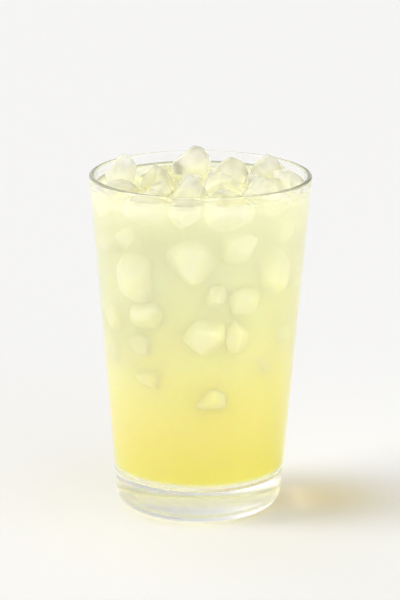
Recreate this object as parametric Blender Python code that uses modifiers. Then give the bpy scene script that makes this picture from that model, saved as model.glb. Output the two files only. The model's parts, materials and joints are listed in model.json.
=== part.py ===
"""A tapered glass tumbler of cloudy lemonade, filled to just under its rim and heaped with ice.

Metres, +Z up. The origin is the middle of the foot, on the surface that the glass stands on.
+X is to the right of the front view and +Y points away from it.
"""

from math import atan, cos, pi, sin, sqrt

import bmesh
import bpy
import numpy as np

MM = 0.001

# Tumbler
HEIGHT = 132.3 * MM
RIM_RADIUS = 42.5 * MM
CONE_FOOT_RADIUS = 31.6 * MM  # where the straight outer side would meet the table
LIP_WALL = 2.1 * MM
FLOOR_WALL = 2.8 * MM  # the side wall where it meets the inner floor
FLOOR_HEIGHT = 13.9 * MM  # of the inner floor, on a thick clear base
FLOOR_CORNER_RADIUS = 5.0 * MM
HEEL_HEIGHT = 7.0 * MM
HEEL_INSET = 10.0 * MM
TUMBLER_STEPS = 64
FLOOR_CORNER_PIECES = 5
LIP_PIECES = 8
HEEL_PIECES = 9

# Drink
DRINK_LEVEL = 127.0 * MM
GAP = 0.3 * MM  # between touching solids

# Ice: each nugget's middle across and away, its top, then its width, depth and height, all in
# mm, and the seed of its facets. The first nine rise 2 to 6.5 mm over the rim, and the rest
# stand 2 to 6 mm out of the drink.
NUGGETS = (
    (-30.7, 6.8, 138.0, 12.7, 16.2, 17.0, 8),
    (-16.2, -2.2, 136.4, 13.0, 14.8, 16.5, 173),
    (-3.7, 18.9, 138.8, 15.9, 15.3, 18.0, 22),
    (-3.7, -18.8, 136.0, 14.4, 14.8, 16.0, 187),
    (10.6, 6.7, 137.6, 16.5, 14.8, 17.8, 44),
    (26.1, 11.7, 137.6, 15.2, 15.3, 17.5, 280),
    (32.2, -4.1, 135.0, 12.5, 17.0, 15.5, 48),
    (24.2, -18.8, 135.4, 17.5, 16.4, 15.0, 49),
    (9.3, -9.0, 134.4, 16.0, 16.4, 14.5, 50),
    (-30.1, -9.8, 131.6, 14.7, 17.9, 14.3, 51),
    (-18.6, -26.6, 131.8, 16.8, 13.9, 13.5, 52),
    (9.3, 21.8, 131.4, 14.5, 16.0, 13.5, 53),
    (-14.2, 27.7, 129.8, 14.6, 12.6, 12.0, 54),
    (23.1, 23.7, 129.0, 11.5, 9.4, 10.0, 55),
    (-2.8, 2.3, 131.0, 14.1, 15.9, 13.0, 56),
    (9.8, -27.2, 131.6, 17.9, 18.0, 14.4, 57),
    (-17.2, 13.1, 129.4, 17.1, 15.1, 13.7, 58),
    (20.7, -3.5, 133.0, 9.4, 12.6, 10.1, 59),
    (-15.2, -15.1, 132.5, 9.2, 10.2, 9.5, 60),
    (-5.6, -33.1, 130.8, 11.7, 10.5, 11.5, 61),
    (0.0, 33.1, 130.0, 12.8, 11.8, 11.0, 62),
    (15.2, 31.3, 129.1, 9.4, 7.0, 7.5, 679),
    (-28.8, 19.6, 130.0, 7.7, 9.5, 9.5, 321),
)
NUGGET_CUTS = 3  # across each side of the cube that a nugget starts as
NUGGET_FACETS = 13
FACET_NUDGE = 0.22
FACET_DEPTHS = 0.74, 1.0
BALL_RADIUS = 1.12  # of the ball that melts the facets' corners away, on the same scale
SHARPNESS = 22.0  # the higher, the flatter the facets and the tighter their edges

# Linear colours, each channel 0 to 1
CLEAR_GLASS = 0.93, 0.96, 0.95
LEMONADE = 0.92, 0.86, 0.42
ICE = 0.94, 0.95, 0.90


def clear_scene():
    for obj in list(bpy.data.objects):
        bpy.data.objects.remove(obj, do_unlink=True)


def new_collection(name, hidden=False):
    collection = bpy.data.collections.new(name)
    bpy.context.scene.collection.children.link(collection)
    collection.hide_render = hidden
    return collection


def material(name, colour, roughness, transmission):
    made = bpy.data.materials.new(name)
    made.use_nodes = True
    shader = made.node_tree.nodes["Principled BSDF"]
    shader.inputs["Base Color"].default_value = (*colour, 1.0)
    shader.inputs["Roughness"].default_value = roughness
    shader.inputs["Metallic"].default_value = 0.0
    shader.inputs["Transmission Weight"].default_value = transmission
    return made


def outer_radius(z):
    """The straight outer side, from the table to the rim."""
    return CONE_FOOT_RADIUS + (RIM_RADIUS - CONE_FOOT_RADIUS) * z / HEIGHT


def inner_radius(z):
    """The straight inner side: the outer one less a wall that thickens downwards."""
    share = (HEIGHT - z) / (HEIGHT - FLOOR_HEIGHT)
    return outer_radius(z) - LIP_WALL - (FLOOR_WALL - LIP_WALL) * share


def arc(centre, radius, start, end, pieces):
    """Points on a circle in the profile's plane, angles in radians from outwards to up."""
    angles = np.linspace(start, end, pieces + 1)
    return [(centre[0] + radius * cos(a), centre[1] + radius * sin(a)) for a in angles]


def inner_outline(clearance):
    """The floor's middle, the floor's rounded corner and the foot of the inner side."""
    floor = FLOOR_HEIGHT + clearance
    corner = FLOOR_CORNER_RADIUS - clearance
    slope = (inner_radius(HEIGHT) - inner_radius(FLOOR_HEIGHT)) / (HEIGHT - FLOOR_HEIGHT)
    middle_z = floor + corner
    middle_r = inner_radius(middle_z) - clearance - corner * sqrt(1 + slope * slope)
    rounding = arc((middle_r, middle_z), corner, -pi / 2, -atan(slope), FLOOR_CORNER_PIECES)
    return [(0.0, floor)] + rounding


def heel():
    """A quarter of an ellipse from the straight outer side in to the flat foot."""
    side = outer_radius(HEEL_HEIGHT)
    turns = np.linspace(0, pi / 2, HEEL_PIECES + 1)
    return [
        (side - HEEL_INSET + HEEL_INSET * cos(t), HEEL_HEIGHT - HEEL_HEIGHT * sin(t))
        for t in turns[:-1]
    ] + [(side - HEEL_INSET, 0.0)]


def tumbler_profile():
    """From the inner floor's middle up the inside, over the lip and down the outside."""
    lip = LIP_WALL / 2
    lip_middle = (outer_radius(HEIGHT) - lip, HEIGHT - lip)
    return inner_outline(0.0) + arc(lip_middle, lip, pi, 0, LIP_PIECES) + heel() + [(0.0, 0.0)]


def drink_profile():
    """From the middle of the surface out to the wall, down it and in under the drink."""
    surface = [(0.0, DRINK_LEVEL), (inner_radius(DRINK_LEVEL) - GAP, DRINK_LEVEL)]
    return surface + inner_outline(GAP)[::-1]


def turned(name, profile, steps, collection):
    """A profile at +X, turned once round Z."""
    mesh = bpy.data.meshes.new(name)
    points = [(r, 0.0, z) for r, z in profile]
    mesh.from_pydata(points, [(i, i + 1) for i in range(len(points) - 1)], [])
    obj = bpy.data.objects.new(name, mesh)
    collection.objects.link(obj)
    screw = obj.modifiers.new("Turn", "SCREW")
    screw.axis = "Z"
    screw.angle = 2 * pi
    screw.steps = steps
    screw.render_steps = steps
    screw.use_merge_vertices = True
    screw.merge_threshold = 0.00001
    screw.use_smooth_shade = True
    return obj


def facets_of(seed):
    """Directions spread evenly over a ball and then nudged, with each facet's depth."""
    draw = np.random.default_rng(seed)
    count = np.arange(NUGGET_FACETS)
    height = 1 - (2 * count + 1) / NUGGET_FACETS
    turn = count * pi * (3 - sqrt(5)) + draw.uniform(0, 2 * pi)
    ring = np.sqrt(1 - height**2)
    normals = np.stack([ring * np.cos(turn), ring * np.sin(turn), height], axis=1)
    normals += draw.normal(0, FACET_NUDGE, normals.shape)
    normals /= np.linalg.norm(normals, axis=1, keepdims=True)
    return normals, draw.uniform(*FACET_DEPTHS, NUGGET_FACETS)


def nugget_points(directions, seed):
    """A blunt polyhedron: along each direction, the soft minimum of the facets and a ball."""
    normals, depths = facets_of(seed)
    reach = np.maximum(directions @ normals.T / depths, 0)
    total = np.sum(reach**SHARPNESS, axis=1) + BALL_RADIUS**-SHARPNESS
    return directions * total[:, None] ** (-1 / SHARPNESS)


def nugget(name, place, clearance, collection):
    """A cube made a ball, drawn onto the blunt polyhedron and sized to its place."""
    x, y, top, width, depth, height = (value * MM for value in place[:6])
    shape = bmesh.new()
    bmesh.ops.create_cube(shape, size=2.0)
    bmesh.ops.subdivide_edges(shape, edges=shape.edges, cuts=NUGGET_CUTS, use_grid_fill=True)
    cube = np.array([v.co for v in shape.verts])
    # An even spread over the ball: each corner angle is shared out equally.
    cube = np.tan(cube * pi / 4)
    directions = cube / np.linalg.norm(cube, axis=1, keepdims=True)
    points = nugget_points(directions, seed=place[6])
    low, high = points.min(axis=0), points.max(axis=0)
    size = np.array([width, depth, height]) + 2 * clearance
    middle = np.array([x, y, top - height / 2])
    points = (points - (low + high) / 2) / (high - low) * size + middle
    for vertex, point in zip(shape.verts, points):
        vertex.co = point
    # Split the same way in a nugget and in the room for it, so that the gap is even.
    bmesh.ops.triangulate(shape, faces=shape.faces, quad_method="FIXED")
    mesh = bpy.data.meshes.new(name)
    shape.to_mesh(mesh)
    shape.free()
    mesh.shade_smooth()
    obj = bpy.data.objects.new(name, mesh)
    collection.objects.link(obj)
    return obj


def main():
    clear_scene()
    parts = new_collection("glass of lemonade")
    cutters = new_collection("cutters", hidden=True)

    glass = turned("glass", tumbler_profile(), TUMBLER_STEPS, parts)
    glass.data.materials.append(material("clear glass", CLEAR_GLASS, 0.02, 1.0))

    drink = turned("lemonade", drink_profile(), TUMBLER_STEPS, parts)
    drink.data.materials.append(material("cloudy lemonade", LEMONADE, 0.08, 0.4))

    ice = material("ice", ICE, 0.12, 0.8)
    for number, place in enumerate(NUGGETS, start=1):
        piece = nugget(f"ice_{number:02d}", place, 0.0, parts)
        piece.data.materials.append(ice)
        cutter = nugget(f"ice_{number:02d}_room", place, GAP, cutters)
        cutter.hide_render = True
        cutter.display_type = "WIRE"

    cut = drink.modifiers.new("Room for the ice", "BOOLEAN")
    cut.operation = "DIFFERENCE"
    cut.operand_type = "COLLECTION"
    cut.collection = cutters
    cut.solver = "EXACT"


main()
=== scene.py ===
"""The looks of a tapered tumbler of cloudy lemonade, heaped with melting ice, on a pale sweep.

Metres, +Z up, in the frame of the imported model: the foot's middle is the origin, and the
front view looks along +Y. Lengths marked MM are real millimetres.
"""

import json
from math import atan, cos, pi, radians, sin, sqrt

import bpy
import numpy as np
from mathutils import Matrix, Vector

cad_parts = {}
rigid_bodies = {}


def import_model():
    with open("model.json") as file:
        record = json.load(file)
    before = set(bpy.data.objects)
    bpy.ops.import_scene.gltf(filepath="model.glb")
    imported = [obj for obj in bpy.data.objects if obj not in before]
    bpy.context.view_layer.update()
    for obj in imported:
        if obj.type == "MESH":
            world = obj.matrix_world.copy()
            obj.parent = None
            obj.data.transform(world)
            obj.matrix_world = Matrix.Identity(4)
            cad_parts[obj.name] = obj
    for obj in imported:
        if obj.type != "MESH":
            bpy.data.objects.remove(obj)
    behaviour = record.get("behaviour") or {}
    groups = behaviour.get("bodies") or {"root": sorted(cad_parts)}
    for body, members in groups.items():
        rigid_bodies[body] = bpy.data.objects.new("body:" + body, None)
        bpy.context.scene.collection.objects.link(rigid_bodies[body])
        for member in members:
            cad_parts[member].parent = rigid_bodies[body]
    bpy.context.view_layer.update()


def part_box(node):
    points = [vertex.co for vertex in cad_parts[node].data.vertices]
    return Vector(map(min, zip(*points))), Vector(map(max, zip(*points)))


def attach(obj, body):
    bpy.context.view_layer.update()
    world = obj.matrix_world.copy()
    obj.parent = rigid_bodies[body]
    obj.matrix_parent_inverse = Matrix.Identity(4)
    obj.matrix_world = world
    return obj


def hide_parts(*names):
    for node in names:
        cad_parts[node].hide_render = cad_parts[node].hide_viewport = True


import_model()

MM = 0.001

# Tumbler, as the frame gives it and with the walls that it was drawn with
GLASS_LOW, GLASS_HIGH = (np.array(corner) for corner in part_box("glass"))
HEIGHT = float(GLASS_HIGH[2])
RIM_RADIUS = float(GLASS_HIGH[0])
CONE_FOOT_RADIUS = 31.6 * MM
LIP_WALL = 2.1 * MM
FLOOR_WALL = 2.8 * MM
FLOOR_HEIGHT = 13.9 * MM
FLOOR_CORNER_RADIUS = 5.0 * MM
HEEL_HEIGHT = 7.0 * MM
HEEL_INSET = 10.0 * MM
HEEL_FINISH_HEIGHT = 6.0 * MM
GLASS_STEPS = 224

# Drink
DRINK_LEVEL = float(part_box("lemonade")[1][2])
INTO_WALL = 0.15 * MM  # how far the drink reaches into the glass, so that no air shows
CREEP = 1.5 * MM  # how high the drink climbs the glass where they meet
CREEP_REACH = 1.7 * MM  # how soon that dies away from the wall
ICE_CREEP = 0.7 * MM
ICE_CREEP_REACH = 1.3 * MM
SURFACE_RINGS = 96
CLOUD_DEPTH = 7.0 * MM  # from the glass in to the drink's dense middle
CLOUD_TOP = 112.0 * MM
CLOUD_FLOOR_GAP = 0.5 * MM

# Ice
NUGGET_FACETS = 13
FACET_NUDGE = 0.22
FACET_DEPTHS = 0.74, 1.0
BALL_RADIUS = 1.12
SHARPNESS = 22.0
NUGGET_SEEDS = (8, 173, 22, 187, 44, 280, *range(48, 63), 679, 321)
FLOATING_GRID = 22
SUNKEN_GRID = 12
MELT_DEPTH = 0.16 * MM  # of the ripples that melting leaves
ICE_INTO_DRINK = 0.1 * MM


def linear(code):
    """An sRGB colour such as "F0ECC9" as linear red, green, blue and 1."""
    parts = np.array([int(code[i : i + 2], 16) for i in (0, 2, 4)]) / 255
    low = parts <= 0.04045
    straight = np.where(low, parts / 12.92, ((parts + 0.055) / 1.055) ** 2.4)
    return (*straight.tolist(), 1.0)


# Meshes


def piece_of(name, vertices, faces, material, smooth=True):
    """An object at the origin from arrays of vertices and of faces."""
    mesh = bpy.data.meshes.new(name)
    mesh.from_pydata(np.asarray(vertices).tolist(), [], faces)
    mesh.validate()
    if smooth:
        mesh.shade_smooth()
    mesh.materials.append(material)
    obj = bpy.data.objects.new(name, mesh)
    bpy.context.scene.collection.objects.link(obj)
    return obj


def lathe(profile, steps):
    """Vertices and faces of a profile turned round Z.

    The profile is rows of (radius, height), from one point on the axis to another. Each row
    between makes a ring: x = radius cos(turn), y = radius sin(turn), z = height.
    """
    profile = np.asarray(profile)
    turn = np.arange(steps) * 2 * pi / steps
    radius, height = profile[1:-1, 0], profile[1:-1, 1]
    rings = np.stack(
        [
            radius[:, None] * np.cos(turn),
            radius[:, None] * np.sin(turn),
            np.repeat(height[:, None], steps, axis=1),
        ],
        axis=-1,
    ).reshape(-1, 3)
    vertices = np.vstack([rings, (0, 0, profile[0, 1]), (0, 0, profile[-1, 1])])
    first, last = len(rings), len(rings) + 1
    here = np.arange(steps)
    after = np.roll(here, -1)
    down = (np.arange(len(radius) - 1) * steps)[:, None]
    quads = np.stack(
        [here + down, here + down + steps, after + down + steps, after + down], axis=-1
    ).reshape(-1, 4)
    end = len(rings) - steps
    start_fan = np.stack([np.full(steps, first), here, after], axis=1)
    end_fan = np.stack([np.full(steps, last), after + end, here + end], axis=1)
    return vertices, quads.tolist() + start_fan.tolist() + end_fan.tolist()


def arc(centre, radius, start, end, pieces):
    """Points on a circle in the profile's plane, angles in radians from outwards to up."""
    angles = np.linspace(start, end, pieces + 1)
    return [(centre[0] + radius * cos(a), centre[1] + radius * sin(a)) for a in angles]


def outer_radius(z):
    """The straight outer side, from the table to the rim."""
    return CONE_FOOT_RADIUS + (RIM_RADIUS - CONE_FOOT_RADIUS) * z / HEIGHT


def inner_radius(z):
    """The straight inner side: the outer one less a wall that thickens downwards."""
    share = (HEIGHT - z) / (HEIGHT - FLOOR_HEIGHT)
    return outer_radius(z) - LIP_WALL - (FLOOR_WALL - LIP_WALL) * share


def inner_outline(clearance, pieces):
    """The floor's middle, the floor's rounded corner and the foot of the inner side."""
    floor = FLOOR_HEIGHT + clearance
    corner = FLOOR_CORNER_RADIUS - clearance
    slope = (inner_radius(HEIGHT) - inner_radius(FLOOR_HEIGHT)) / (HEIGHT - FLOOR_HEIGHT)
    middle_z = floor + corner
    middle_r = inner_radius(middle_z) - clearance - corner * sqrt(1 + slope * slope)
    floor_rings = [(r, floor) for r in np.linspace(0, middle_r, 8)[:-1]]
    return floor_rings + arc((middle_r, middle_z), corner, -pi / 2, -atan(slope), pieces)


def heel(pieces):
    """A quarter of an ellipse from the straight outer side in to the flat foot's edge."""
    side = outer_radius(HEEL_HEIGHT)
    turns = np.linspace(0, pi / 2, pieces)
    return [
        (side - HEEL_INSET + HEEL_INSET * cos(t), HEEL_HEIGHT - HEEL_HEIGHT * sin(t))
        for t in turns
    ]


def straight(start, end, pieces):
    """Points between two profile points, both ends left out."""
    shares = np.linspace(0, 1, pieces + 1)[1:-1]
    return [tuple(np.array(start) * (1 - s) + np.array(end) * s) for s in shares]


def tumbler_profile():
    """From the inner floor's middle up the inside, over the lip and down the outside."""
    lip = LIP_WALL / 2
    inside = inner_outline(0.0, 16)
    over = arc((outer_radius(HEIGHT) - lip, HEIGHT - lip), lip, pi, 0, 24)
    under = heel(28)
    return (
        inside
        + straight(inside[-1], over[0], 24)
        + over
        + straight(over[-1], under[0], 24)
        + under
        + [(r, 0.0) for r in np.linspace(under[-1][0], 0, 8)[1:]]
    )


def cube_ball(count):
    """Directions evenly over a ball, and the quads between them.

    Each side of a cube is a grid of count by count squares. A grid point at (a, b) on the
    side facing +X is (1, tan(a pi/4), tan(b pi/4)), made one long, and the others alike.
    """
    line = np.tan(np.linspace(-1, 1, count + 1) * pi / 4)
    a, b = np.meshgrid(line, line, indexing="ij")
    one = np.ones_like(a)
    sides = [
        (one, a, b),
        (-one, b, a),
        (b, one, a),
        (a, -one, b),
        (a, b, one),
        (b, a, -one),
    ]
    points = np.concatenate([np.stack(side, axis=-1).reshape(-1, 3) for side in sides])
    cell = np.arange(count)
    corner = (cell[:, None] * (count + 1) + cell).reshape(-1)
    quad = np.stack([corner, corner + count + 1, corner + count + 2, corner + 1], axis=1)
    quads = np.concatenate([quad + side * (count + 1) ** 2 for side in range(6)])
    _, first, index = np.unique(
        np.round(points, 6), axis=0, return_index=True, return_inverse=True
    )
    directions = points[first]
    directions /= np.linalg.norm(directions, axis=1, keepdims=True)
    return directions, index.reshape(-1)[quads]


def facets_of(seed):
    """Directions spread evenly over a ball and then nudged, with each facet's depth."""
    draw = np.random.default_rng(seed)
    count = np.arange(NUGGET_FACETS)
    height = 1 - (2 * count + 1) / NUGGET_FACETS
    turn = count * pi * (3 - sqrt(5)) + draw.uniform(0, 2 * pi)
    ring = np.sqrt(1 - height**2)
    normals = np.stack([ring * np.cos(turn), ring * np.sin(turn), height], axis=1)
    normals += draw.normal(0, FACET_NUDGE, normals.shape)
    normals /= np.linalg.norm(normals, axis=1, keepdims=True)
    return normals, draw.uniform(*FACET_DEPTHS, NUGGET_FACETS)


def nugget(directions, seed, middle, size, grown=0.0):
    """Points of a nugget of melting ice.

    Along each direction the radius is the soft minimum of the facets' distances and of a
    ball. The shape is then sized to its place, and ripples are added along each direction:
    the sum of four waves in random directions, as melting leaves.
    """
    normals, depths = facets_of(seed)
    reach = np.maximum(directions @ normals.T / depths, 0)
    total = np.sum(reach**SHARPNESS, axis=1) + BALL_RADIUS**-SHARPNESS
    points = directions * total[:, None] ** (-1 / SHARPNESS)
    low, high = points.min(axis=0), points.max(axis=0)
    points = (points - (low + high) / 2) / (high - low) * size
    draw = np.random.default_rng(seed + 1000)
    waves = draw.normal(0, 1, (4, 3))
    waves *= (draw.uniform(1.1, 2.4, 4) / MM / np.linalg.norm(waves, axis=1))[:, None]
    ripple = np.cos(points @ waves.T + draw.uniform(0, 2 * pi, 4)).sum(axis=1) / 4
    return middle + points + directions * (MELT_DEPTH * (ripple - 1) + grown)[:, None]


# Materials


def add(tree, kind, inputs=None, **settings):
    """A node with its settings, and its inputs, each a value or another node's output."""
    made = tree.nodes.new(kind)
    for name, value in settings.items():
        setattr(made, name, value)
    for name, value in (inputs or {}).items():
        if isinstance(value, bpy.types.NodeSocket):
            tree.links.new(value, made.inputs[name])
        else:
            made.inputs[name].default_value = value
    return made


def new_material(name):
    """An empty material, its node tree and its output."""
    material = bpy.data.materials.new(name)
    material.use_nodes = True
    material.node_tree.nodes.clear()
    return material, material.node_tree, add(material.node_tree, "ShaderNodeOutputMaterial")


def lit_through(tree, shader, tint):
    """The shader, but clear and tinted to shadow rays, so that lamps light what is inside."""
    path = add(tree, "ShaderNodeLightPath")
    clear = add(tree, "ShaderNodeBsdfTransparent", {"Color": tint})
    return add(
        tree,
        "ShaderNodeMixShader",
        {0: path.outputs["Is Shadow Ray"], 1: shader, 2: clear.outputs[0]},
    ).outputs[0]


def soda_lime_glass(name, roughness):
    """Pressed soda-lime glass, fire-polished: clear, faintly green-grey, with a slow waviness
    that bends its highlights. Under the foot it keeps the mould's finer roughness."""
    material, tree, out = new_material(name)
    place = add(tree, "ShaderNodeTexCoord").outputs["Object"]
    wave = add(tree, "ShaderNodeTexNoise", {"Vector": place, "Scale": 0.12 / MM, "Detail": 1.0})
    bump = add(
        tree,
        "ShaderNodeBump",
        {"Strength": 0.06, "Distance": 0.4 * MM, "Height": wave.outputs["Fac"]},
    )
    glass = add(
        tree,
        "ShaderNodeBsdfPrincipled",
        {
            "Base Color": linear("FFFFFF"),
            "Roughness": roughness,
            "IOR": 1.5,
            "Transmission Weight": 1.0,
            "Normal": bump.outputs["Normal"],
        },
    )
    surface = lit_through(tree, glass.outputs[0], linear("FBFCFB"))
    tree.links.new(surface, out.inputs["Surface"])
    return material


def cloudy_lemonade():
    """The outer drink: water, sugar and lemon juice with fine pulp, which fogs the ice."""
    material, tree, out = new_material("cloudy_lemonade")
    drink = add(
        tree,
        "ShaderNodeBsdfPrincipled",
        {
            "Base Color": linear("FEFEF8"),
            "Roughness": 0.0,
            "IOR": 1.335,
            "Transmission Weight": 1.0,
        },
    )
    surface = lit_through(tree, drink.outputs[0], linear("FEFEF8"))
    tree.links.new(surface, out.inputs["Surface"])
    fog = add(
        tree,
        "ShaderNodeVolumePrincipled",
        {
            "Color": linear("FFFFF9"),
            "Density": 0.18 / MM,
            "Anisotropy": 0.5,
        },
    )
    tree.links.new(fog.outputs[0], out.inputs["Volume"])
    return material


def drink_colour_with_painted_side_light(tree, place):
    """The drink's colour: paler where the ice thins it and yellower towards the floor. It is also
    painted paler on the left and yellower on the right, painted light standing in for the
    window's light scattered through the drink. Its share of the ramp goes by z - x / 2, with a
    slow drift of up to 24 mm."""
    # Painted light: the - x / 2 makes the drink paler on the left and yellower on the right.
    level = add(
        tree, "ShaderNodeVectorMath", {0: place, 1: (-0.5, 0.0, 1.0)}, operation="DOT_PRODUCT"
    ).outputs["Value"]
    drift = add(tree, "ShaderNodeTexNoise", {"Vector": place, "Scale": 0.05 / MM, "Detail": 2.0})
    raised = add(
        tree,
        "ShaderNodeMath",
        {0: drift.outputs["Fac"], 1: 24 * MM, 2: level},
        operation="MULTIPLY_ADD",
    )
    share = add(
        tree,
        "ShaderNodeMapRange",
        {"Value": raised.outputs[0], "From Min": 25 * MM, "From Max": 125 * MM},
    )
    ramp = add(tree, "ShaderNodeValToRGB", {0: share.outputs[0]})
    stops = ramp.color_ramp.elements
    stops[0].position, stops[0].color = 0.0, linear("EDE658")
    stops[1].position, stops[1].color = 1.0, linear("FDFAE4")
    for position, colour in ((0.3, "F4EB80"), (0.6, "FDF6B8")):
        stop = stops.new(position)
        stop.color = linear(colour)
    return ramp.outputs["Color"]


def settled_cloud():
    """The drink's dense middle. Its underside is painted paler, as painted light standing in for
    the light that comes up through the base.
    """
    material, tree, out = new_material("settled_lemon_cloud")
    place = add(tree, "ShaderNodeTexCoord").outputs["Object"]
    facing = add(tree, "ShaderNodeNewGeometry").outputs["Normal"]
    up = add(tree, "ShaderNodeSeparateXYZ", {0: facing}).outputs["Z"]
    # Painted light: faces turned downwards are painted near white, and the drink's colour below
    # carries its painted side light.
    under = add(tree, "ShaderNodeMapRange", {"Value": up, "From Min": -0.1, "From Max": -0.6})
    colour = add(
        tree,
        "ShaderNodeMix",
        {0: under.outputs[0], 6: drink_colour_with_painted_side_light(tree, place), 7: linear("FDFDFA")},
        data_type="RGBA",
    )
    body = add(
        tree,
        "ShaderNodeBsdfPrincipled",
        {
            "Base Color": colour.outputs[2],
            "Roughness": 0.9,
            "IOR": 1.1,
            "Subsurface Weight": 1.0,
            "Subsurface Radius": (18 * MM, 14 * MM, 6 * MM),
            "Subsurface Scale": 1.0,
        },
    )
    surface = lit_through(tree, body.outputs[0], linear("DCD8C2"))
    tree.links.new(surface, out.inputs["Surface"])
    return material


def ice_skin(tree):
    """The pits and soft ridges that melting leaves, as a bump over the ripples in the mesh."""
    place = add(tree, "ShaderNodeTexCoord").outputs["Object"]
    pits = add(tree, "ShaderNodeTexNoise", {"Vector": place, "Scale": 0.35 / MM, "Detail": 2.0})
    bump = add(
        tree,
        "ShaderNodeBump",
        {"Strength": 0.3, "Distance": 0.5 * MM, "Height": pits.outputs["Fac"]},
    )
    return place, bump.outputs["Normal"]


def wet_nugget_ice():
    """Nugget ice at the top: above the drink clear, with milky clouds of fine bubbles, wet,
    and yellower towards its foot at the drink's level. Below the surface it is as milky as the
    drink."""
    material, tree, out = new_material("wet_nugget_ice")
    place, skin = ice_skin(tree)
    height = add(tree, "ShaderNodeSeparateXYZ", {0: place}).outputs["Z"]
    above = add(
        tree,
        "ShaderNodeMapRange",
        {"Value": height, "From Min": DRINK_LEVEL - 1 * MM, "From Max": DRINK_LEVEL + 1 * MM},
    )
    haze = add(tree, "ShaderNodeTexNoise", {"Vector": place, "Scale": 0.09 / MM, "Detail": 1.0})
    clear = add(
        tree,
        "ShaderNodeMapRange",
        {
            "Value": haze.outputs["Fac"],
            "From Min": 0.35,
            "From Max": 0.65,
            "To Min": 0.5,
            "To Max": 0.8,
        },
    )
    clear_above = add(
        tree, "ShaderNodeMath", {0: clear.outputs[0], 1: above.outputs[0]}, operation="MULTIPLY"
    )
    risen = add(
        tree,
        "ShaderNodeMapRange",
        {"Value": height, "From Min": DRINK_LEVEL - 1 * MM, "From Max": DRINK_LEVEL + 2 * MM},
    )
    colour = add(
        tree,
        "ShaderNodeMix",
        {0: risen.outputs[0], 6: linear("F4F3E2"), 7: linear("FDFCF8")},
        data_type="RGBA",
    )
    ice = add(
        tree,
        "ShaderNodeBsdfPrincipled",
        {
            "Base Color": colour.outputs[2],
            "Roughness": 0.12,
            "IOR": 1.31,
            "Transmission Weight": clear_above.outputs[0],
            "Subsurface Weight": 1.0,
            "Subsurface Radius": (5 * MM, 5 * MM, 4 * MM),
            "Subsurface Scale": 1.0,
            "Normal": skin,
        },
    )
    surface = lit_through(tree, ice.outputs[0], linear("F0F1EA"))
    tree.links.new(surface, out.inputs["Surface"])
    return material


def sunken_nugget_ice():
    """Nugget ice under the drink: milky in soft patches, with the drink's colour through the
    rest of it, its wet facets still catching the lamps."""
    material, tree, out = new_material("sunken_nugget_ice")
    place, skin = ice_skin(tree)
    haze = add(tree, "ShaderNodeTexNoise", {"Vector": place, "Scale": 0.11 / MM, "Detail": 2.0})
    milk = add(
        tree,
        "ShaderNodeMapRange",
        {
            "Value": haze.outputs["Fac"],
            "From Min": 0.35,
            "From Max": 0.65,
            "To Min": 0.1,
            "To Max": 0.6,
        },
        interpolation_type="SMOOTHSTEP",
    )
    # The drink's colour here carries its painted side light: paler on the left, yellower on the
    # right.
    colour = add(
        tree,
        "ShaderNodeMix",
        {0: milk.outputs[0], 6: drink_colour_with_painted_side_light(tree, place), 7: linear("E6E7E0")},
        data_type="RGBA",
    )
    ice = add(
        tree,
        "ShaderNodeBsdfPrincipled",
        {
            "Base Color": colour.outputs[2],
            "Roughness": 0.2,
            "IOR": 1.31,
            "Subsurface Weight": 1.0,
            "Subsurface Radius": (5 * MM, 5 * MM, 4 * MM),
            "Subsurface Scale": 1.0,
            "Coat Weight": 1.0,
            "Coat IOR": 1.9,
            "Coat Roughness": 0.3,
            "Normal": skin,
        },
    )
    surface = lit_through(tree, ice.outputs[0], linear("F4F4EC"))
    tree.links.new(surface, out.inputs["Surface"])
    return material


def paper_sweep_with_painted_shadow():
    """Matt white paper sweep. To the glass's right it has a painted shadow, darker and pale
    yellow, standing in for the glass's shadow warmed by the light that the real drink lets
    through: a soft oval, e^-((x-a)/b)^2-((y-c)/d)^2."""
    material, tree, out = new_material("matt_paper_sweep")
    place = add(tree, "ShaderNodeTexCoord").outputs["Object"]
    across = add(
        tree,
        "ShaderNodeVectorMath",
        {0: place, 1: PAINTED_SHADOW_MIDDLE},
        operation="SUBTRACT",
    )
    across = add(
        tree,
        "ShaderNodeVectorMath",
        {0: across.outputs[0], 1: PAINTED_SHADOW_REACH},
        operation="DIVIDE",
    ).outputs[0]
    square = add(tree, "ShaderNodeVectorMath", {0: across, 1: across}, operation="DOT_PRODUCT")
    fall = add(
        tree, "ShaderNodeMath", {0: square.outputs["Value"], 1: -1.0}, operation="MULTIPLY"
    )
    share = add(tree, "ShaderNodeMath", {0: fall.outputs[0]}, operation="EXPONENT")
    colour = add(
        # Painted shadow: the oval mixes the paper towards a darker pale yellow.
        tree,
        "ShaderNodeMix",
        {0: share.outputs[0], 6: linear("F7F6F5"), 7: linear("E8DBBA")},
        data_type="RGBA",
    )
    paper = add(
        tree,
        "ShaderNodeBsdfPrincipled",
        {
            "Base Color": colour.outputs[2],
            "Roughness": 0.75,
            "Specular IOR Level": 0.2,
        },
    )
    tree.links.new(paper.outputs[0], out.inputs["Surface"])
    return material


# Middle and reach of the painted shadow on the paper.
PAINTED_SHADOW_MIDDLE = 46 * MM, 6 * MM, 0.0
PAINTED_SHADOW_REACH = 30 * MM, 24 * MM, 1.0


# The object


def keep(obj, slot, *nodes):
    """A piece of the object, its record slot, which is not used, and the CAD nodes that it stands
    for.
    """
    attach(obj, "root")
    if nodes:
        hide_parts(*nodes)
    return obj


def make_glass(polished, moulded):
    """The tumbler, with the mould's finish on its heel and underside."""
    vertices, faces = lathe(tumbler_profile(), GLASS_STEPS)
    glass = piece_of("tumbler", vertices, faces, polished)
    glass.data.materials.append(moulded)
    for face in glass.data.polygons:
        if face.center.z < HEEL_FINISH_HEIGHT:
            face.material_index = 1
    return keep(glass, "glass", "glass")


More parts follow.
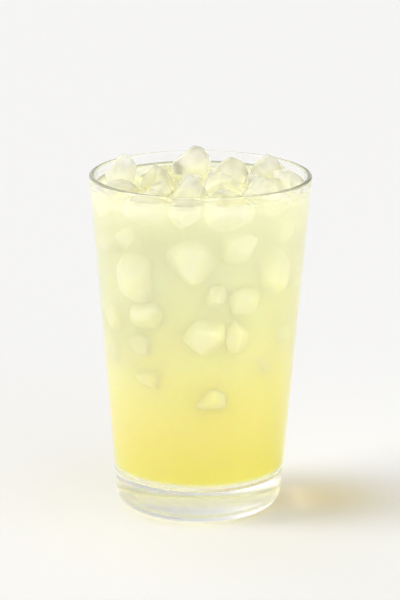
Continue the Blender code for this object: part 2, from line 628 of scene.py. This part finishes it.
def sunken_places(floating):
    """Middles, sizes and seeds of the ice wholly under the surface.

    Those seen against the front of the glass are listed one by one, and the rest are thrown
    at random into the ring between the glass and the drink's dense middle, keeping only
    those that miss all the others.
    """
    placed = [
        (
            np.array((x * SEEN_INWARD, y * SEEN_INWARD, z)) * MM,
            np.array(size) * SEEN_GROWTH * MM,
            seed,
        )
        for (x, y, z), size, seed in SEEN_SUNKEN
    ]
    balls = [(m, s.max() / 2) for m, s in floating] + [(m, s.mean() / 2) for m, s, _ in placed]
    draw = np.random.default_rng(7)
    for _ in range(SUNKEN_THROWS):
        size = draw.uniform(9.5, 15.0) * draw.uniform(0.85, 1.15, 3) * MM
        height = draw.uniform(56 * MM, DRINK_LEVEL - size[2] / 2 - 1 * MM)
        room = inner_radius(height) - size.max() / 2 - 0.6 * MM
        turn = draw.uniform(-pi, pi)
        before = abs(turn - FRONT) < 1.1
        radius = room - (4 * MM if before else 0) - abs(draw.normal(0, 5 * MM))
        middle = np.array([radius * cos(turn), radius * sin(turn), height])
        reach = size.mean() / 2
        clear = all(
            np.linalg.norm(middle - other) > reach + ball + 0.3 * MM for other, ball in balls
        )
        if clear:
            placed.append((middle, size, int(draw.integers(1, 400))))
            balls.append((middle, reach))
    return placed


SUNKEN_THROWS = 1500
SEEN_INWARD = 0.945  # from the places below, which are where the photo shows them
SEEN_GROWTH = 1.12  # so that they press on one another
FRONT = -pi / 2
SEEN_SUNKEN = (
    ((-20.8, -20.7, 97.6), (18.0, 13.0, 19.0), 31),
    ((-17.4, -22.7, 83.2), (15.0, 12.0, 11.5), 32),
    ((-2.8, -30.4, 106.0), (16.5, 12.0, 16.0), 33),
    ((24.0, -17.3, 100.0), (16.0, 13.0, 17.0), 34),
    ((5.7, -30.2, 92.6), (8.0, 8.0, 10.5), 35),
    ((15.4, -25.2, 89.5), (12.0, 11.0, 12.0), 36),
    ((1.6, -28.0, 77.4), (14.0, 12.0, 16.0), 37),
    ((13.4, -26.2, 76.0), (8.0, 8.5, 12.0), 38),
    ((-18.2, -17.1, 70.6), (13.0, 12.0, 11.0), 39),
    ((-15.3, -19.7, 58.8), (14.0, 12.0, 11.0), 40),
    ((2.8, -24.6, 51.3), (17.0, 13.0, 12.5), 41),
    ((16.6, -14.5, 61.8), (16.0, 14.0, 15.0), 42),
    ((14.0, -26.8, 110.6), (12.0, 11.0, 11.0), 43),
    ((-25.0, -19.0, 112.2), (10.0, 10.0, 9.0), 44),
    ((28.0, -13.0, 113.6), (10.0, 11.0, 9.5), 45),
)


def drink_surface_height(x, y, floating, waterlines):
    """The drink's surface: level, and creeping up the glass and the ice.

    The rise is CREEP e^(-d / CREEP_REACH), with d the way to the wall, and the larger of
    that and the same for each nugget, with d the way to the oval where it meets the drink.
    """
    wall = inner_radius(DRINK_LEVEL) - np.hypot(x, y)
    rise = CREEP * np.exp(-np.maximum(wall, 0) / CREEP_REACH)
    for (middle, _), (across, along) in zip(floating, waterlines):
        ratio = np.hypot((x - middle[0]) / across, (y - middle[1]) / along)
        way = np.maximum(ratio - 1, 0) * (across + along) / 2
        rise = np.maximum(rise, ICE_CREEP * np.exp(-way / ICE_CREEP_REACH))
    return DRINK_LEVEL + rise


def drink_profile(into_wall):
    """From the surface's middle out to the wall, down it and in under the drink."""
    edge = inner_radius(DRINK_LEVEL) + into_wall
    inside = inner_outline(-into_wall, 14)
    # Rings crowd towards the wall, where the surface curves.
    rings = [(edge * (1 - (1 - s) ** 1.6), DRINK_LEVEL) for s in np.linspace(0, 1, SURFACE_RINGS)]
    top = (inner_radius(DRINK_LEVEL + CREEP) + into_wall, DRINK_LEVEL + CREEP)
    return rings[:-1] + [top] + straight(top, inside[-1], 36) + inside[::-1]


def cut_from(obj, cutter):
    """Takes the cutter's closed shapes out of a piece and applies the cut."""
    cut = obj.modifiers.new("Room for the ice", "BOOLEAN")
    cut.operation = "DIFFERENCE"
    cut.object = cutter
    cut.solver = "MANIFOLD"
    graph = bpy.context.evaluated_depsgraph_get()
    cut_mesh = bpy.data.meshes.new_from_object(obj.evaluated_get(graph))
    obj.modifiers.clear()
    obj.data = cut_mesh
    obj.data.shade_smooth()
    bpy.data.objects.remove(cutter)


def joined(shapes, quads):
    """Many nuggets of the same grid as one pair of vertices and faces."""
    count = len(shapes[0])
    faces = np.concatenate([quads + i * count for i in range(len(shapes))])
    return np.concatenate(shapes), faces.tolist()


def make_ice_and_drink(materials):
    nodes = [f"ice_{i:02d}" for i in range(1, len(NUGGET_SEEDS) + 1)]
    floating = []
    for name in nodes:
        low, high = (np.array(corner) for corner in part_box(name))
        floating.append(((low + high) / 2, high - low))
    fine, fine_quads = cube_ball(FLOATING_GRID)
    coarse, coarse_quads = cube_ball(SUNKEN_GRID)
    waterlines, rooms = [], []
    for name, seed, (middle, size) in zip(nodes, NUGGET_SEEDS, floating):
        points = nugget(fine, seed, middle, size)
        shown = piece_of(f"floating_{name}", points, fine_quads.tolist(), materials["ice"])
        keep(shown, "ice", name)
        ring = np.abs(points[:, 2] - DRINK_LEVEL) < 0.08 * size[2]
        spread = np.ptp(points[ring, :2], axis=0) / 2
        waterlines.append(spread)
        rooms.append(nugget(coarse, seed, middle, size, -ICE_INTO_DRINK))

    sunken = sunken_places(floating)
    shapes = [nugget(coarse, seed, middle, size) for middle, size, seed in sunken]
    keep(piece_of("sunken_ice", *joined(shapes, coarse_quads), materials["sunken"]), "ice")

    vertices, faces = lathe(drink_profile(INTO_WALL), GLASS_STEPS)
    top = vertices[:, 2] >= DRINK_LEVEL - 0.01 * MM
    vertices[top, 2] = drink_surface_height(*vertices[top, :2].T, floating, waterlines)
    drink = piece_of("lemonade_drink", vertices, faces, materials["drink"])
    cutter = piece_of("ice_rooms", *joined(rooms, coarse_quads), materials["ice"])
    cut_from(drink, cutter)
    keep(drink, "lemonade", "lemonade")


def make_cloud(material):
    """The drink's dense middle: a turned body set in from the glass, its top a low dome."""
    foot = FLOOR_HEIGHT + CLOUD_FLOOR_GAP
    heights = np.linspace(foot + 4 * MM, CLOUD_TOP - 12 * MM, 40)
    inset = np.interp(heights, [foot, 45 * MM, 75 * MM], [0.8 * MM, 3.5 * MM, CLOUD_DEPTH])
    side = [(inner_radius(z) - d, z) for z, d in zip(heights, inset)]
    base = arc((side[0][0] - 4 * MM, foot + 4 * MM), 4 * MM, -pi / 2, 0, 8)
    turns = np.linspace(0, pi / 2, 14)[1:-1]
    dome = [(side[-1][0] * cos(t), side[-1][1] + 12 * MM * sin(t)) for t in turns]
    profile = [(0, foot)] + base + side[1:] + dome + [(0, CLOUD_TOP)]
    vertices, faces = lathe(profile[::-1], 128)
    return keep(piece_of("lemonade_cloud", vertices, faces, material), "lemonade", "lemonade")


# The studio


AIR_GAP = 0.05 * MM  # between foot and floor, so that the foot reflects from inside


def make_floor(material):
    """A flat sweep, far larger than the view, split into a grid."""
    side = np.linspace(-3.0, 3.0, 25)
    x, y = np.meshgrid(side, side, indexing="ij")
    vertices = np.stack([x, y + 1.0, np.full_like(x, -AIR_GAP)], axis=-1).reshape(-1, 3)
    cell = np.arange(24)
    corner = (cell[:, None] * 25 + cell).reshape(-1)
    faces = np.stack([corner, corner + 25, corner + 26, corner + 1], axis=1).tolist()
    floor = piece_of("floor", vertices, faces, material, smooth=False)


def far_light(name, way, strength, spread, colour, lit):
    """A far, broad light on the pieces named, the way to it given from the glass."""
    lamp = bpy.data.lights.new(name, "SUN")
    lamp.energy = strength
    lamp.angle = spread
    lamp.color = linear(colour)[:3]
    obj = bpy.data.objects.new(name, lamp)
    obj.rotation_euler = (-Vector(way)).to_track_quat("-Z", "Y").to_euler()
    bpy.context.scene.collection.objects.link(obj)
    receivers = bpy.data.collections.new(f"lit by {name}")
    for piece in bpy.data.objects:
        if piece.name.startswith(lit):
            receivers.objects.link(piece)
    obj.light_linking.receiver_collection = receivers


SKY_STRENGTH = 0.89
# Soft patches of the world's light: the way to each middle, the cosine at its edge, and how
# much more light it has. The narrow one is a window, seen through the base.
GLOWS = (
    ((-0.65, 0.71, 0.26), 0.88, 0.4),
    ((0.75, 0.63, 0.2), 0.2, -0.3),
    ((-0.75, -0.63, 0.2), 0.3, -0.65),
    ((0.75, -0.63, 0.2), 0.2, 0.35),
)


def make_studio():
    world = bpy.data.worlds.new("studio")
    world.use_nodes = True
    back = world.node_tree.nodes["Background"]
    tree = world.node_tree
    way = add(tree, "ShaderNodeTexCoord").outputs["Generated"]
    strength = SKY_STRENGTH
    for middle, edge, more in GLOWS:
        near = add(tree, "ShaderNodeVectorMath", {0: way, 1: middle}, operation="DOT_PRODUCT")
        patch = add(
            tree,
            "ShaderNodeMapRange",
            {"Value": near.outputs["Value"], "From Min": edge, "From Max": 0.97, "To Max": more},
            interpolation_type="SMOOTHSTEP",
        )
        strength = add(
            tree, "ShaderNodeMath", {0: patch.outputs[0], 1: strength}, operation="ADD"
        ).outputs[0]
    back.inputs["Color"].default_value = linear("FDFEFF")
    tree.links.new(strength, back.inputs["Strength"])
    bpy.context.scene.world = world
    # The real drink scatters the window's light right through: here the drink has its share
    # from the world instead, even from side to side.
    over_drink = "floor", "tumbler", "floating"
    far_light("window", (-1.0, -0.14, 0.75), 1.2, radians(28), "FFFDFA", over_drink)
    far_light("lamp", (-0.5, -0.8, 0.9), 0.6, radians(8), "FFFFFF", "sunken")
    far_light("second lamp", (0.4, -0.9, 0.45), 0.5, radians(8), "FFFFFF", "sunken")
    far_light("glint", (-0.3, -0.8, 1.0), 0.18, radians(8), "FFFFFF", "floating")


CAMERA_PLACE = 0.08 * MM, -1000 * MM, 356 * MM
CAMERA_PITCH = radians(15.31)
CAMERA_ROLL = radians(0.39)
FOCAL_PIXELS = 2688
PHOTO_HEIGHT = 600
SENSOR = 36.0


def make_camera():
    data = bpy.data.cameras.new("camera")
    data.sensor_width = SENSOR
    data.lens = FOCAL_PIXELS / PHOTO_HEIGHT * SENSOR
    data.clip_start = 0.05
    camera = bpy.data.objects.new("camera", data)
    bpy.context.scene.collection.objects.link(camera)
    tilt = Matrix.Rotation(pi / 2 - CAMERA_PITCH, 4, "X")
    roll = Matrix.Rotation(CAMERA_ROLL, 4, "Z")
    camera.matrix_world = Matrix.Translation(CAMERA_PLACE) @ tilt @ roll
    bpy.context.scene.camera = camera


def set_light_paths():
    """Enough bounces for the way in through glass, drink and ice and out again."""
    scene = bpy.context.scene
    scene.view_settings.view_transform = "Standard"
    scene.cycles.max_bounces = 64
    scene.cycles.diffuse_bounces = 32
    scene.cycles.glossy_bounces = 32
    scene.cycles.transmission_bounces = 48
    scene.cycles.volume_bounces = 16
    scene.cycles.transparent_max_bounces = 32
    scene.cycles.blur_glossy = 0.0
    scene.cycles.use_denoising = True


materials = {
    "glass": soda_lime_glass("pressed_soda_lime_glass", 0.0),
    "heel": soda_lime_glass("moulded_soda_lime_heel", 0.25),
    "drink": cloudy_lemonade(),
    "cloud": settled_cloud(),
    "ice": wet_nugget_ice(),
    "sunken": sunken_nugget_ice(),
}
make_glass(materials["glass"], materials["heel"])
make_ice_and_drink(materials)
make_cloud(materials["cloud"])
make_floor(paper_sweep_with_painted_shadow())
make_studio()
make_camera()
set_light_paths()
